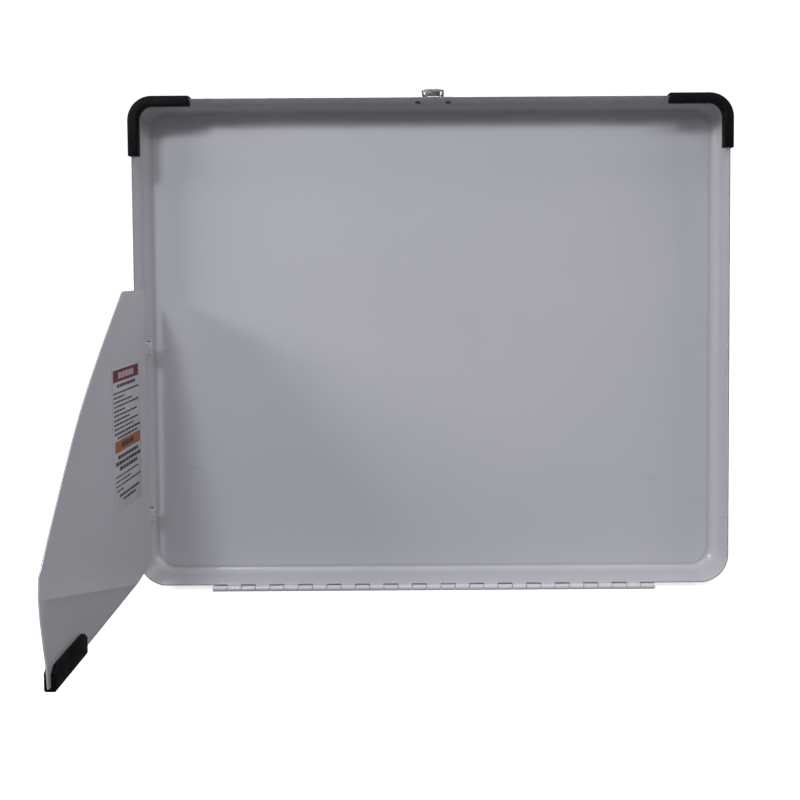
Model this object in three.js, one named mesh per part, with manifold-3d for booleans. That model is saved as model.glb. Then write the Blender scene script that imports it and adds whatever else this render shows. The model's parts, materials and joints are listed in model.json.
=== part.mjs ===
// Lid of a portable gas camp stove: a pressed, enamelled steel tray that stands upright on its
// piano hinge, with one folding wind wing, two moulded corner guards and a draw latch.
// Millimetres, +Z up, open side to -Y.
import * as THREE from "three";
import { mergeVertices } from "three/addons/utils/BufferGeometryUtils.js";
import Module from "manifold-3d";

const wasm = await Module();
wasm.setup();

// ---------- driving dimensions ----------
const CLEAR = 0.3; // air between pieces that touch
const SHEET = 1.0; // steel sheet of the lid and the wing

const FOOT_Y = 12; // from the hinge pin's axis back to the part's origin, under the folded leaf
const LID_WIDTH = 525;
const LID_HEIGHT = 431;
const LID_CORNER = 25; // outer corner radius, seen from the front
const WALL_DEPTH = 24; // straight part of the wall, from the rim to the fillet
const FILLET_IN = 5.5; // how far the fillet comes in from the wall
const FILLET_DEEP = 9; // how deep the fillet goes
const PANEL_RISE = 0.8; // the back panel stands forward of the fillet's valley
const PANEL_RAMP = 3.2; // width of the ramp up to the panel

const KNUCKLE_COUNT = 31;
const KNUCKLE_PITCH = 12.7;
const KNUCKLE_GAP = 0.35;
const KNUCKLE_RADIUS = 2.5;
const LEAF_SHEET = 1.2;
const LID_LEAF_WIDTH = 15;
const BASE_LEAF_WIDTH = 27;
const LEAF_REACH = 0.6; // the leaf's sheet starts this far behind the knuckle's back
const HINGE_PIN_RADIUS = 1.1;
const HINGE_BORE_RADIUS = 1.25;
const LEAF_HOLES = { count: 5, pitch: 84, y: 19, radius: 2.2 };
const LEAF_DIMPLES = { offset: 21, y: 11, radius: 2 }; // one beside each hole; they stop the folded leaf

const WING_AXIS_X = -255.2;
const WING_AXIS_Y = 15;
const WING_TOP = 269.5;
const PIVOT_HEIGHTS = { upper: 216.5, lower: 65.5 };
const PIVOT_HOLE_Y = 5;
const PIVOT_HOLE_RADIUS = 1.7;
const JOGGLE = 1.3; // the wing's lower corner stands this far towards +X
const WING_LOW_FRONT = [200, 9.2]; // the bottom edge's front half, as [forward of the axis, height]
const WING_LOW_MIDDLE = [144, 11.8];
const WING_KNUCKLE = { radius: 2.2, bore: 1.35, half: 3.7, tongue: 12 };
const WING_GUARD = { rear: 155, front: 206, thick: 4.2, high: 15, under: 2, chamfer: 1.4 };
const WING_LABEL = { rear: 26, front: 88, low: 90, high: 209, thickness: 0.25, air: 0.05 };
const BRACKET = { half: 9, front: 1.8, back: 14.7, round: 2.6, bore: 1.4 };
const BRACKET_EAR = { root: 8.7, thickness: 1.2, low: -5.2, high: 4 };
const WING_PIN = { radius: 1.1, low: -6.2, high: 6, head: 2, headHigh: 6.4 };
const RIVET_TAIL = 1.8;

const GUARD_OUT = 2.4; // corner guard, outside the lid's wall
const GUARD_IN = 6.4; // corner guard, inner face measured from the wall's outer face
const GUARD_FRONT = 3.2;
const GUARD_DEPTH = { outer: 8, inner: 5 };
const GUARD_CORNER = { outer: 21.5, inner: 12 };
const GUARD_TOP_LEG = { left: 53.5, right: 56 };
const GUARD_SIDE_LEG = { left: 52.2, right: 48 };

const LATCH_X = 2; // the latch sits this far to the right of the lid's middle
const LATCH_PLATE = { width: 34, front: 5, back: 29, thickness: 1, corner: 2.5 };
const LATCH_PIN = { y: 10, lift: 3.6, radius: 1, play: 0.2 };
const LATCH_EAR = { half: 2.6, round: 1.9, thickness: 1 };
const LATCH_RIVET = { x: 13.5, y: 17, shank: 1.6, head: 2.7 };
const LEVER = { width: 12.5, back: 29, sheet: 1, web: 3.2, round: 1.85, lip: 3 };
const LEVER_NOSE = { out: 2, in: 1.25, high: 2.6 }; // wall across the lever's front, round the pin
const BAIL = { y: 17, drop: 0.65, radius: 0.9, half: 8.85, front: -7, bend: 3 };

// ---------- worked out from them ----------
const LID_BOTTOM = 2 * KNUCKLE_RADIUS + CLEAR;
const LID_TOP = LID_BOTTOM + LID_HEIGHT;
const LID_SIDE = LID_WIDTH / 2;
const LID_MIDDLE = (LID_BOTTOM + LID_TOP) / 2;
const HINGE_LENGTH = KNUCKLE_COUNT * KNUCKLE_PITCH;
const PLATE_LOW = LID_TOP + CLEAR;
const PLATE_HIGH = PLATE_LOW + LATCH_PLATE.thickness;
const PIN_HEIGHT = PLATE_HIGH + LATCH_PIN.lift;
const BAIL_HEIGHT = PIN_HEIGHT - BAIL.drop;

const LOOK = {
  enamel: { color: 0xc9cad0, roughness: 0.22, metalness: 0.0 },
  plastic: { color: 0x151517, roughness: 0.75, metalness: 0.0 },
  chrome: { color: 0xb9bcc2, roughness: 0.2, metalness: 1.0 },
  steel: { color: 0x9a9da3, roughness: 0.35, metalness: 1.0 },
  label: { color: 0xb4b4ba, roughness: 0.5, metalness: 0.0 },
};

const AXIS = {
  x: new THREE.Vector3(1, 0, 0),
  y: new THREE.Vector3(0, 1, 0),
  z: new THREE.Vector3(0, 0, 1),
};

// ---------- solids ----------

// A closed geometry as a solid that manifold-3d can join and cut.
function solidOf(geometry) {
  const bare = geometry.clone();
  bare.deleteAttribute("normal");
  bare.deleteAttribute("uv");
  const merged = mergeVertices(bare, 1e-4);
  return new wasm.Manifold(
    new wasm.Mesh({
      numProp: 3,
      vertProperties: new Float32Array(merged.attributes.position.array),
      triVerts: new Uint32Array(merged.index.array),
    }),
  );
}

// A solid back as a geometry with flat-shaded faces.
function geometryOf(solid) {
  const mesh = solid.getMesh();
  const positions = new Float32Array(mesh.numVert * 3);
  for (let i = 0; i < mesh.numVert; i++) {
    const start = i * mesh.numProp;
    positions.set(mesh.vertProperties.subarray(start, start + 3), i * 3);
  }
  const indexed = new THREE.BufferGeometry();
  indexed.setAttribute("position", new THREE.BufferAttribute(positions, 3));
  indexed.setIndex(new THREE.BufferAttribute(mesh.triVerts, 1));
  const flat = indexed.toNonIndexed();
  flat.computeVertexNormals();
  return flat;
}

// Triangles given as point triples, turned outwards as a whole if they face in.
function closedGeometry(triangles) {
  const volume = triangles.reduce((sum, [a, b, c]) => sum + a.clone().cross(b).dot(c), 0);
  const facing = volume < 0 ? triangles.map(([a, b, c]) => [a, c, b]) : triangles;
  const positions = facing.flat().flatMap((p) => [p.x, p.y, p.z]);
  const geometry = new THREE.BufferGeometry();
  geometry.setAttribute("position", new THREE.Float32BufferAttribute(positions, 3));
  return mergeVertices(geometry, 1e-4);
}

// Joins neighbouring loops of equal length into bands of triangles.
function bands(loops) {
  const triangles = [];
  for (let k = 0; k + 1 < loops.length; k++) {
    const [low, high] = [loops[k], loops[k + 1]];
    for (let i = 0; i < low.length; i++) {
      const j = (i + 1) % low.length;
      triangles.push([low[i], low[j], high[j]]);
      triangles.push([low[i], high[j], high[i]]);
    }
  }
  return triangles;
}

// A flat cap over a convex loop, as a fan about its middle.
function fan(loop, towardsEnd) {
  const middle = loop.reduce((sum, p) => sum.add(p), new THREE.Vector3()).divideScalar(loop.length);
  return loop.map((p, i) => {
    const next = loop[(i + 1) % loop.length];
    return towardsEnd ? [p, next, middle] : [next, p, middle];
  });
}

// Sweeps one profile of [outward, along] pairs through stations that each say where a pair goes.
function sweep(profile, stations) {
  const loops = stations.map((place) => profile.map(([out, along]) => place(out, along)));
  const flatProfile = profile.map(([out, along]) => new THREE.Vector2(out, along));
  const faces = THREE.ShapeUtils.triangulateShape(flatProfile, []);
  const [first, last] = [loops[0], loops[loops.length - 1]];
  const caps = faces.flatMap(([a, b, c]) => [
    [first[a], first[c], first[b]],
    [last[a], last[b], last[c]],
  ]);
  const facing = THREE.ShapeUtils.area(flatProfile) > 0 ? caps : caps.map(([a, b, c]) => [a, c, b]);
  return closedGeometry([...bands(loops), ...facing]);
}

// A round bar from one place to another along an axis.
function bar(axis, centre, low, high, radius, sides = 16) {
  const geometry = new THREE.CylinderGeometry(radius, radius, high - low, sides);
  geometry.applyQuaternion(new THREE.Quaternion().setFromUnitVectors(AXIS.y, AXIS[axis]));
  const at = centre.clone().addScaledVector(AXIS[axis], (low + high) / 2);
  return solidOf(geometry.translate(at.x, at.y, at.z));
}

// A box between two corners.
function block(low, high) {
  const size = high.map((value, i) => value - low[i]);
  const geometry = new THREE.BoxGeometry(...size);
  return solidOf(geometry.translate(...low.map((value, i) => value + size[i] / 2)));
}

// A shape drawn in (y, z), extruded from x = low to x = high.
function extrudeAlongX(shape, low, high, curveSegments = 8) {
  const options = { depth: high - low, bevelEnabled: false, curveSegments };
  const geometry = new THREE.ExtrudeGeometry(shape, options);
  geometry.applyMatrix4(new THREE.Matrix4().makeBasis(AXIS.y, AXIS.z, AXIS.x));
  return solidOf(geometry.translate(low, 0, 0));
}

// A shape drawn in (x, y), extruded from z = low to z = high.
function extrudeAlongZ(shape, low, high, curveSegments = 8) {
  const options = { depth: high - low, bevelEnabled: false, curveSegments };
  const geometry = new THREE.ExtrudeGeometry(shape, options);
  return solidOf(geometry.translate(0, 0, low));
}

function shapeOf(points) {
  return new THREE.Shape(points.map(([u, v]) => new THREE.Vector2(u, v)));
}

function joinAll(solids) {
  return solids.reduce((sum, solid) => sum.add(solid));
}

// ---------- lid tray ----------

// One rounded rectangle of the tray, inset from the lid's outline, at depth y.
function trayLoop(inset, y) {
  const radius = LID_CORNER - inset;
  const across = LID_SIDE - LID_CORNER;
  const up = LID_HEIGHT / 2 - LID_CORNER;
  const corners = [[1, 1], [-1, 1], [-1, -1], [1, -1]];
  const steps = 8;
  return corners.flatMap(([sx, sz], corner) =>
    Array.from({ length: steps + 1 }, (_, i) => {
      const angle = (corner + i / steps) * (Math.PI / 2);
      const x = sx * across + radius * Math.cos(angle);
      const z = LID_MIDDLE + sz * up + radius * Math.sin(angle);
      return new THREE.Vector3(x, y, z);
    }),
  );
}

// The wall, fillet and panel ramp of one face of the sheet: thickness 0 is the outer face, SHEET the inner.
function trayFace(thickness) {
  const valley = WALL_DEPTH + FILLET_DEEP + SHEET - thickness;
  const wide = FILLET_IN + SHEET - thickness;
  const steps = 5;
  const fillet = Array.from({ length: steps + 1 }, (_, i) => {
    const angle = (i / steps) * (Math.PI / 2);
    const inset = FILLET_IN + SHEET - wide * Math.cos(angle);
    return trayLoop(inset, WALL_DEPTH + (valley - WALL_DEPTH) * Math.sin(angle));
  });
  const panelInset = FILLET_IN + SHEET + PANEL_RAMP;
  return [trayLoop(thickness, 0), ...fillet, trayLoop(panelInset, valley - PANEL_RISE)];
}

function lidShell() {
  const outer = trayFace(0).reverse();
  const inner = trayFace(SHEET);
  const loops = [...outer, ...inner];
  const triangles = [
    ...bands(loops),
    ...fan(loops[0], false),
    ...fan(loops[loops.length - 1], true),
  ];
  let shell = solidOf(closedGeometry(triangles));
  for (const height of Object.values(PIVOT_HEIGHTS)) {
    const centre = new THREE.Vector3(0, PIVOT_HOLE_Y, height);
    shell = shell.subtract(bar("x", centre, -LID_SIDE - 1, -LID_SIDE + 3, PIVOT_HOLE_RADIUS + CLEAR));
    shell = shell.subtract(bar("x", centre, LID_SIDE - 3, LID_SIDE + 1, PIVOT_HOLE_RADIUS));
  }
  for (const side of [-1, 1]) {
    const centre = new THREE.Vector3(LATCH_X + side * LATCH_RIVET.x, LATCH_RIVET.y, 0);
    shell = shell.subtract(bar("z", centre, LID_TOP - 3, LID_TOP + 1, LATCH_RIVET.shank + CLEAR));
  }
  return shell;
}

// ---------- corner guards ----------

// A channel moulding that follows the rim round one top corner.
function cornerGuard(side, topLeg, sideLeg) {
  const { outer, inner } = GUARD_DEPTH;
  const profile = [
    [GUARD_OUT, outer], [GUARD_OUT, -1.4], [GUARD_OUT - 0.5, -2.5], [GUARD_OUT - 1.5, -GUARD_FRONT],
    [1.5 - GUARD_IN, -GUARD_FRONT], [0.4 - GUARD_IN, -2.5], [-GUARD_IN, -1.4], [-GUARD_IN, inner],
    [-SHEET - CLEAR, inner], [-SHEET - CLEAR, -CLEAR], [CLEAR, -CLEAR], [CLEAR, outer],
  ];
  // The outer and inner skins turn the corner on arcs of their own, tighter than the lid's.
  const cornerRadius = (out) => {
    if (out > CLEAR) return GUARD_CORNER.outer + out - GUARD_OUT;
    return out < -SHEET - CLEAR ? GUARD_CORNER.inner + out + GUARD_IN : LID_CORNER + out;
  };
  const round = (angle) => (out, along) => {
    const radius = cornerRadius(out);
    const x = LID_SIDE + out - radius + radius * Math.cos(angle);
    const z = LID_TOP + out - radius + radius * Math.sin(angle);
    return new THREE.Vector3(side * x, along, z);
  };
  const lowEnd = (out, along) =>
    new THREE.Vector3(side * (LID_SIDE + out), along, LID_TOP + GUARD_OUT - sideLeg);
  const topEnd = (out, along) =>
    new THREE.Vector3(side * (LID_SIDE + GUARD_OUT - topLeg), along, LID_TOP + out);
  const steps = 10;
  const corner = Array.from({ length: steps + 1 }, (_, i) => round((i / steps) * (Math.PI / 2)));
  return solidOf(sweep(profile, [lowEnd, ...corner, topEnd]));
}

// ---------- piano hinge ----------

// A leaf with its own knuckles; own says which knuckles it carries, height where its sheet lies.
function hingeLeaf(own, height, width) {
  const sheetStart = KNUCKLE_RADIUS + LEAF_REACH;
  const outline = [];
  const knuckles = [];
  for (let i = 0; i < KNUCKLE_COUNT; i++) {
    const start = -HINGE_LENGTH / 2 + i * KNUCKLE_PITCH;
    const low = start + KNUCKLE_GAP / 2;
    const high = start + KNUCKLE_PITCH - KNUCKLE_GAP / 2;
    if (!own(i)) continue;
    outline.push([low, sheetStart], [low, 0], [high, 0], [high, sheetStart]);
    knuckles.push(bar("x", new THREE.Vector3(0, 0, KNUCKLE_RADIUS), low, high, KNUCKLE_RADIUS));
  }
  const end = HINGE_LENGTH / 2 - KNUCKLE_GAP / 2;
  if (!own(0)) {
    outline.unshift([-end, sheetStart]);
    outline.push([end, sheetStart]);
  }
  outline.push([end, width], [-end, width]);
  const sheet = extrudeAlongZ(shapeOf(outline), height, height + LEAF_SHEET);
  const bore = new THREE.Vector3(0, 0, KNUCKLE_RADIUS);
  return joinAll([sheet, ...knuckles]).subtract(
    bar("x", bore, -HINGE_LENGTH, HINGE_LENGTH, HINGE_BORE_RADIUS, 12),
  );
}

function hingeLidLeaf() {
  return hingeLeaf((i) => i % 2 === 1, 2 * KNUCKLE_RADIUS - LEAF_SHEET, LID_LEAF_WIDTH);
}

// The free leaf lies folded under the lid; its dimples stop against the lid's leaf.
function hingeBaseLeaf() {
  const dimpleTop = 2 * KNUCKLE_RADIUS - LEAF_SHEET - CLEAR;
  let leaf = hingeLeaf((i) => i % 2 === 0, 0, BASE_LEAF_WIDTH);
  for (let i = 0; i < LEAF_HOLES.count; i++) {
    const x = (i - (LEAF_HOLES.count - 1) / 2) * LEAF_HOLES.pitch;
    const dimple = new THREE.Vector3(x + LEAF_DIMPLES.offset, LEAF_DIMPLES.y, 0);
    const hole = new THREE.Vector3(x, LEAF_HOLES.y, 0);
    leaf = leaf.add(bar("z", dimple, LEAF_SHEET / 2, dimpleTop, LEAF_DIMPLES.radius, 12));
    leaf = leaf.subtract(bar("z", hole, -1, LEAF_SHEET + 1, LEAF_HOLES.radius));
  }
  return leaf;
}

function hingePin() {
  const centre = new THREE.Vector3(0, 0, KNUCKLE_RADIUS);
  return bar("x", centre, -HINGE_LENGTH / 2, HINGE_LENGTH / 2, HINGE_PIN_RADIUS, 12);
}

// ---------- wind wing ----------

// The wing's front edge, from its top corner down to the joggle, as [forward of the axis, height].
function wingFrontEdge() {
  const through = [[68.6, 262.8], [104.2, 229.4], [134.6, 198.8], [158.6, 170.1], [196.1, 116.7], [212, 93]];
  const curve = new THREE.SplineCurve(through.map(([u, v]) => new THREE.Vector2(u, v)));
  return curve.getPoints(15).map((p) => [p.x, p.y]);
}

// The wing sheet: an upper field, a sloping joggle and a lower corner that stands JOGGLE further in.
function wingSheet() {
  const point = ([forward, height], shift) =>
    new THREE.Vector3(WING_AXIS_X + shift, WING_AXIS_Y - forward, height);
  const rear = [[14, 21.5], [5, 24], [11, WING_TOP]];
  const top = [[60, WING_TOP], [63.5, WING_TOP - 1.4]];
  const nose = [[215.2, 88], [215.6, 84]];
  const upperLine = [nose[1], [24, 20]]; // where the joggle starts
  const lowerLine = [[216.5, 75], [42, 18.6]]; // where it ends
  const tip = [[215.5, 60], [213.1, 39], [211.1, 28.7], [209, 10.5]];
  const upper = [...rear, ...top, ...wingFrontEdge(), ...nose, upperLine[1]];
  const lower = [lowerLine[0], ...tip, WING_LOW_FRONT, WING_LOW_MIDDLE, lowerLine[1]];
  const fields = [
    upper.map((p) => point(p, 0)),
    [...upperLine.map((p) => point(p, 0)), ...[...lowerLine].reverse().map((p) => point(p, JOGGLE))],
    lower.map((p) => point(p, JOGGLE)),
  ];
  const rim = [...upper.slice(0, -1).map((p) => point(p, 0)), ...lower.map((p) => point(p, JOGGLE))];
  rim.push(point(upperLine[1], 0));
  const face = (shift, flip) => fields.flatMap((field) => {
    const moved = field.map((p) => p.clone().setX(p.x + shift));
    const flat = moved.map((p) => new THREE.Vector2(p.y, p.z));
    return THREE.ShapeUtils.triangulateShape(flat, []).map(([a, b, c]) => {
      const turned = new THREE.Triangle(moved[a], moved[b], moved[c]).getNormal(new THREE.Vector3()).x < 0;
      return turned === flip ? [moved[a], moved[b], moved[c]] : [moved[a], moved[c], moved[b]];
    });
  });
  const loops = [-SHEET / 2, SHEET / 2].map((shift) => rim.map((p) => p.clone().setX(p.x + shift)));
  const clockwise = THREE.ShapeUtils.area(rim.map((p) => new THREE.Vector2(p.y, p.z))) < 0;
  const walls = bands(clockwise ? [...loops].reverse() : loops);
  return solidOf(closedGeometry([...face(SHEET / 2, false), ...face(-SHEET / 2, true), ...walls]));
}

// The sheet with a tongue at each pivot that reaches back to the axis and is rolled into a knuckle.
function wingPanel() {
  let wing = wingSheet();
  for (const height of Object.values(PIVOT_HEIGHTS)) {
    const axis = new THREE.Vector3(WING_AXIS_X, WING_AXIS_Y, height);
    const { radius, bore, half, tongue } = WING_KNUCKLE;
    wing = wing.add(
      block(
        [WING_AXIS_X - SHEET / 2, WING_AXIS_Y - tongue, height - half],
        [WING_AXIS_X + SHEET / 2, WING_AXIS_Y, height + half],
      ),
    );
    wing = wing.add(bar("z", axis, -half, half, radius));
    wing = wing.subtract(bar("z", axis, -half - 1, half + 1, bore, 12));
  }
  return wing;
}

// The channel moulding on the wing's bottom edge, at its front corner.
function wingGuard() {
  const { rear, front, thick, high, under, chamfer } = WING_GUARD;
  const slot = SHEET / 2 + CLEAR;
  const profile = [
    [thick, high], [thick, chamfer - under], [thick - chamfer, -under],
    [chamfer - thick, -under], [-thick, chamfer - under], [-thick, high],
    [-slot, high], [-slot, -CLEAR], [slot, -CLEAR], [slot, high],
  ];
  const [[frontEnd, frontHeight], [rearEnd, rearHeight]] = [WING_LOW_FRONT, WING_LOW_MIDDLE];
  const slope = (rearHeight - frontHeight) / (frontEnd - rearEnd);
  const bottomEdge = (forward) => frontHeight + slope * (frontEnd - forward);
  const station = (forward) => (out, up) =>
    new THREE.Vector3(WING_AXIS_X + JOGGLE + out, WING_AXIS_Y - forward, bottomEdge(forward) + up);
  return solidOf(sweep(profile, [station(rear), station(front)]));
}

function wingLabel() {
  const { rear, front, low, high, thickness, air } = WING_LABEL;
  const face = WING_AXIS_X + SHEET / 2 + air;
  return block([face, WING_AXIS_Y - front, low], [face + thickness, WING_AXIS_Y - rear, high]);
}

// ---------- wing pivots ----------

function wingBracket(height) {
  const wall = -LID_SIDE + SHEET + CLEAR;
  const { half, front, back, round, bore } = BRACKET;
  const { root, thickness, low, high } = BRACKET_EAR;
  const tilt = Math.atan2((root + back) / 2 - WING_AXIS_Y, wall - WING_AXIS_X);
  const ear = new THREE.Shape();
  ear.moveTo(wall, root);
  ear.absarc(WING_AXIS_X, WING_AXIS_Y, round, tilt + Math.PI / 2, tilt - Math.PI / 2, false);
  ear.lineTo(wall, back);
  const plate = block([wall, front, height - half], [wall + SHEET, back, height + half]);
  const ears = [low, high].map((start) => extrudeAlongZ(ear, height + start, height + start + thickness, 6));
  const axis = new THREE.Vector3(WING_AXIS_X, WING_AXIS_Y, height);
  const hole = new THREE.Vector3(0, PIVOT_HOLE_Y, height);
  return joinAll([plate, ...ears])
    .subtract(bar("z", axis, -half, half, bore, 12))
    .subtract(bar("x", hole, wall - SHEET, wall + 2 * SHEET, PIVOT_HOLE_RADIUS + CLEAR));
}

function wingPin(height) {
  const axis = new THREE.Vector3(WING_AXIS_X, WING_AXIS_Y, height);
  const { radius, low, high, head, headHigh } = WING_PIN;
  const earTop = BRACKET_EAR.high + BRACKET_EAR.thickness;
  return bar("z", axis, low, high, radius, 12).add(bar("z", axis, earTop + CLEAR, headHigh, head, 12));
}

// A rivet with a domed head at its high end and a set tail at its low end.
function rivet(axis, centre, low, high, shank, head) {
  const body = bar(axis, centre, low - CLEAR, high + CLEAR, shank, 12);
  const profile = [[0, 0], [head, 0], [head * 0.9, 0.5], [head * 0.55, 1.1], [0, 1.3]];
  const dome = new THREE.LatheGeometry(profile.map(([r, h]) => new THREE.Vector2(r, h)), 16);
  dome.applyQuaternion(new THREE.Quaternion().setFromUnitVectors(AXIS.y, AXIS[axis]));
  const at = centre.clone().addScaledVector(AXIS[axis], high);
  const top = solidOf(dome.translate(at.x, at.y, at.z));
  const tail = bar(axis, centre, low - RIVET_TAIL, low, head - CLEAR);
  return joinAll([body, top, tail]);
}

function wingRivet(height) {
  const centre = new THREE.Vector3(0, PIVOT_HOLE_Y, height);
  const inside = -LID_SIDE + SHEET + CLEAR + SHEET + CLEAR;
  return rivet("x", centre, -LID_SIDE - CLEAR, inside, PIVOT_HOLE_RADIUS, LATCH_RIVET.head);
}

// ---------- draw latch ----------

function roundedPlate() {
  const { width, front, back, corner: radius } = LATCH_PLATE;
  const half = width / 2;
  const shape = new THREE.Shape();
  shape.absarc(half - radius, front + radius, radius, -Math.PI / 2, 0, false);
  shape.absarc(half - radius, back - radius, radius, 0, Math.PI / 2, false);
  shape.absarc(radius - half, back - radius, radius, Math.PI / 2, Math.PI, false);
  shape.absarc(radius - half, front + radius, radius, Math.PI, 1.5 * Math.PI, false);
  return extrudeAlongZ(shape, PLATE_LOW, PLATE_HIGH, 4);
}

function latchBasePlate() {
  const { half, round, thickness } = LATCH_EAR;
  const ear = new THREE.Shape();
  ear.moveTo(LATCH_PIN.y - half, PLATE_HIGH - CLEAR);
  ear.lineTo(LATCH_PIN.y + half, PLATE_HIGH - CLEAR);
  ear.absarc(LATCH_PIN.y, PIN_HEIGHT, round, 0, Math.PI, false);
  const inner = LEVER.width / 2 + CLEAR;
  const ears = [inner, -inner - thickness].map((low) => extrudeAlongX(ear, low, low + thickness, 8));
  let plate = joinAll([roundedPlate(), ...ears]);
  for (const side of [-1, 1]) {
    const hole = new THREE.Vector3(side * LATCH_RIVET.x, LATCH_RIVET.y, 0);
    plate = plate.subtract(bar("z", hole, PLATE_LOW - 1, PLATE_HIGH + 1, LATCH_RIVET.shank + CLEAR));
  }
  const pin = new THREE.Vector3(0, LATCH_PIN.y, PIN_HEIGHT);
  return plate.subtract(bar("x", pin, -LEVER.width, LEVER.width, LATCH_PIN.radius + LATCH_PIN.play, 12));
}

function latchLeverPin() {
  const end = LEVER.width / 2 + CLEAR + LATCH_EAR.thickness;
  return bar("x", new THREE.Vector3(0, LATCH_PIN.y, PIN_HEIGHT), -end, end, LATCH_PIN.radius, 12);
}

// A channel, open downwards, with a wall across its front and a lifting lip at its back end.
function latchLever() {
  const half = LEVER.width / 2;
  const { round, back, lip } = LEVER;
  const low = PIN_HEIGHT - round;
  const webLow = PIN_HEIGHT + LEVER.web;
  const webHigh = webLow + LEVER.sheet;
  const start = LATCH_PIN.y + LEVER.sheet / 2;
  const cheek = new THREE.Shape();
  cheek.moveTo(start, webHigh);
  cheek.absarc(LATCH_PIN.y, PIN_HEIGHT, round, Math.PI * 0.62, Math.PI * 1.5, false);
  cheek.lineTo(back - 2 * lip, low);
  cheek.lineTo(back - LEVER.sheet, webHigh);
  const web = shapeOf([
    [start, webLow], [back - lip / 2, webLow], [back + lip - 0.4, webLow + 0.8],
    [back + lip, webLow + 1.7], [back - lip / 2, webHigh], [start, webHigh],
  ]);
  const nose = [
    [-LEVER_NOSE.out, -LEVER_NOSE.high], [-LEVER_NOSE.in, -LEVER_NOSE.high],
    [-LEVER_NOSE.in, LEVER_NOSE.high - 0.4], [LEVER.sheet, LEVER.web], [LEVER.sheet, LEVER.web + LEVER.sheet],
    [-LEVER.sheet / 2, LEVER.web + 0.8], [-LEVER_NOSE.out, LEVER_NOSE.high],
  ];
  const wall = shapeOf(nose.map(([y, z]) => [LATCH_PIN.y + y, PIN_HEIGHT + z]));
  const cheeks = [-half, half - LEVER.sheet].map((x) => extrudeAlongX(cheek, x, x + LEVER.sheet, 8));
  const lever = joinAll([extrudeAlongX(web, -half, half), extrudeAlongX(wall, -half, half), ...cheeks]);
  const pin = new THREE.Vector3(0, LATCH_PIN.y, PIN_HEIGHT);
  const bail = new THREE.Vector3(0, BAIL.y, BAIL_HEIGHT);
  return lever
    .subtract(bar("x", pin, -LEVER.width, LEVER.width, LATCH_PIN.radius + LATCH_PIN.play, 12))
    .subtract(bar("x", bail, -LEVER.width, LEVER.width, BAIL.radius + LATCH_PIN.play, 12));
}

// The bail's centre line: in through one cheek, forward, across and back.
function bailPath() {
  const inner = LEVER.width / 2 - LEVER.sheet - 0.7;
  const half = [[inner, BAIL.y], [BAIL.half, BAIL.y], [BAIL.half, BAIL.front]];
  const corners = [...half, ...half.map(([x, y]) => [-x, y]).reverse()];
  const points = corners.map(([x, y]) => new THREE.Vector3(x, y, BAIL_HEIGHT));
  const path = new THREE.CurvePath();
  let from = points[0];
  for (let i = 1; i + 1 < points.length; i++) {
    const reach = Math.min(BAIL.bend, points[i].distanceTo(points[i - 1]) * 0.6);
    const enter = points[i].clone().lerp(points[i - 1], reach / points[i].distanceTo(points[i - 1]));
    const leave = points[i].clone().lerp(points[i + 1], reach / points[i].distanceTo(points[i + 1]));
    path.add(new THREE.LineCurve3(from, enter));
    path.add(new THREE.QuadraticBezierCurve3(enter, points[i], leave));
    from = leave;
  }
  path.add(new THREE.LineCurve3(from, points[points.length - 1]));
  return path;
}

function latchBail() {
  const section = new THREE.Shape();
  section.absarc(0, 0, BAIL.radius, 0, 2 * Math.PI, false);
  const options = { steps: 52, extrudePath: bailPath(), curveSegments: 4 };
  return solidOf(new THREE.ExtrudeGeometry(section, options));
}

function latchRivet(side) {
  const centre = new THREE.Vector3(side * LATCH_RIVET.x, LATCH_RIVET.y, 0);
  return rivet("z", centre, LID_TOP - SHEET - CLEAR, PLATE_HIGH + CLEAR, LATCH_RIVET.shank, LATCH_RIVET.head);
}

// ---------- assembly ----------

function piece(name, solid, look) {
  const mesh = new THREE.Mesh(geometryOf(solid), new THREE.MeshStandardMaterial(LOOK[look]));
  mesh.name = name;
  return mesh;
}

function assemble() {
  const lid = new THREE.Group();
  lid.add(piece("lid_shell", lidShell(), "enamel"));
  lid.add(piece("corner_guard_left", cornerGuard(-1, GUARD_TOP_LEG.left, GUARD_SIDE_LEG.left), "plastic"));
  lid.add(piece("corner_guard_right", cornerGuard(1, GUARD_TOP_LEG.right, GUARD_SIDE_LEG.right), "plastic"));
  lid.add(piece("hinge_lid_leaf", hingeLidLeaf(), "enamel"));
  lid.add(piece("hinge_pin", hingePin(), "steel"));

  const latch = new THREE.Group();
  latch.position.x = LATCH_X;
  latch.add(piece("latch_base_plate", latchBasePlate(), "chrome"));
  latch.add(piece("latch_lever_pin", latchLeverPin(), "chrome"));
  latch.add(piece("latch_lever", latchLever(), "chrome"));
  latch.add(piece("latch_bail", latchBail(), "chrome"));
  latch.add(piece("latch_rivet_left", latchRivet(-1), "steel"));
  latch.add(piece("latch_rivet_right", latchRivet(1), "steel"));
  lid.add(latch);

  const wing = new THREE.Group();
  wing.add(piece("wing_panel", wingPanel(), "enamel"));
  wing.add(piece("wing_guard", wingGuard(), "plastic"));
  wing.add(piece("wing_label", wingLabel(), "label"));
  for (const [name, height] of Object.entries(PIVOT_HEIGHTS)) {
    lid.add(piece(`wing_bracket_${name}`, wingBracket(height), "enamel"));
    lid.add(piece(`wing_pin_${name}`, wingPin(height), "steel"));
    lid.add(piece(`wing_rivet_${name}`, wingRivet(height), "steel"));
  }
  lid.add(wing);
  lid.add(piece("hinge_base_leaf", hingeBaseLeaf(), "enamel"));
  lid.position.y = -FOOT_Y;
  return lid;
}

export default assemble();
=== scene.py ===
"""Looks of a camp stove lid: enamelled tray, wind wing with label, corner guards, piano hinge, latch.

Lengths are in millimetres in the row frame (+Z up, open side to -Y); meshes are scaled to metres
when they are made.
"""

import json
import math
import random

import bmesh
import bpy
from mathutils import Matrix, Vector


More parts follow.
